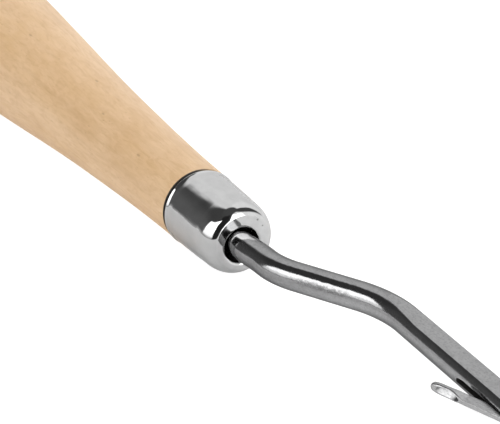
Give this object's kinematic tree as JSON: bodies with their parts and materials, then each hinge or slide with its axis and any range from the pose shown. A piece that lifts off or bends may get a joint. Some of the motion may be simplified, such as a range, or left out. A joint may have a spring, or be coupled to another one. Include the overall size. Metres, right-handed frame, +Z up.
{
  "type": "bent latch hook",
  "caption": "Hand tool with a turned wooden handle, a steel ferrule and a cranked round steel shank that ends in an open hook closed by a small swinging latch.",
  "frame": {"origin": "on the table under the middle of the tool's length, at the bottom centre of its bounding box, with the tool lying on its side", "axes": "+X from the handle's butt towards the hook, +Y towards the side that the shank is cranked to (the throat opens towards -Y), +Z up from the table"},
  "size_m": [0.1694, 0.0188, 0.0189],
  "materials": {
    "wood": "satin",
    "ferrule_metal": "polished",
    "shank_steel": "polished",
    "latch_steel": "satin",
    "rivet_steel": "satin"
  },
  "bodies": {
    "tool": {"handle": "wood", "ferrule": "ferrule_metal", "shank": "shank_steel", "latch_rivet": "rivet_steel"},
    "latch": {"latch": "latch_steel"}
  },
  "joints": [
    {"name": "latch_swing", "type": "hinge", "parent": "tool", "child": "latch", "pos_m": [0.06764, 0.00594, 0.00183], "axis": [0.0544, 0, 0.9985], "range_deg": [-5, 138]}
  ]
}
